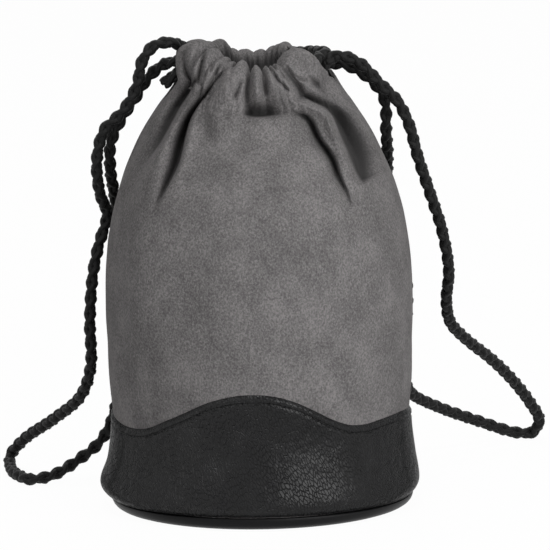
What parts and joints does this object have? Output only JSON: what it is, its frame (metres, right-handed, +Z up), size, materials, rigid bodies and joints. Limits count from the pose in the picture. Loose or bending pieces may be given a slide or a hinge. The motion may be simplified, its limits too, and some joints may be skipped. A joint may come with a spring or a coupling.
{
  "type": "lens pouch",
  "caption": "Soft round drawstring pouch for a camera lens: padded suede body, leather foot band with a wavy edge, stiff base, gathered mouth and looped twisted cords.",
  "frame": {"origin": "middle of the base's flat underside", "axes": "+Z up through the mouth, -Y the front shown in the picture, +X to the right of that view"},
  "size_m": [0.2124, 0.1849, 0.1845],
  "materials": {
    "suede": "matt napped microsuede",
    "leather": "pebbled, half matt",
    "lining": "smooth woven lining",
    "foam": "soft sheet padding",
    "board": "pressed fibre board",
    "cord": "three-strand twisted cord"
  },
  "bodies": {
    "pouch": {"base_cover": "leather", "base_board": "board", "base_welt": "leather", "base_padding": "foam", "base_lining": "lining", "front_panel": "suede", "front_padding": "foam", "front_lining": "lining", "front_band": "leather", "rear_panel": "suede", "rear_padding": "foam", "rear_lining": "lining", "rear_band": "leather", "left_cord_rear_end": "cord", "left_cord_front_end": "cord", "left_cord_crossing": "cord", "right_cord_rear_end": "cord", "right_cord_front_end": "cord", "right_cord_crossing": "cord"},
    "front_collar": {"front_casing": "suede", "left_cord_front_run": "cord", "right_cord_front_run": "cord"},
    "rear_collar": {"rear_casing": "suede", "left_cord_rear_run": "cord", "right_cord_rear_run": "cord"},
    "left_loop": {"left_cord_loop": "cord"},
    "right_loop": {"right_cord_loop": "cord"}
  },
  "joints": [
    {"name": "mouth_front", "type": "slide", "parent": "pouch", "child": "front_collar", "axis": [0, -1, 0], "range_m": [-0.004, 0.018], "deforming": ["left_cord_crossing", "right_cord_crossing"]},
    {"name": "mouth_rear", "type": "slide", "parent": "pouch", "child": "rear_collar", "axis": [0, 1, 0], "range_m": [-0.004, 0.018]},
    {"name": "left_swing", "type": "hinge", "parent": "pouch", "child": "left_loop", "pos_m": [-0.049, 0, 0.1595], "axis": [0, 1, 0], "range_deg": [0, 100], "deforming": ["left_cord_front_end", "left_cord_rear_end"]},
    {"name": "right_swing", "type": "hinge", "parent": "pouch", "child": "right_loop", "pos_m": [0.051, 0, 0.159], "axis": [0, -1, 0], "range_deg": [0, 100], "deforming": ["right_cord_front_end", "right_cord_rear_end"]}
  ],
  "couplings": [
    {"joint": "mouth_rear", "follows": "mouth_front", "ratio": 1}
  ]
}
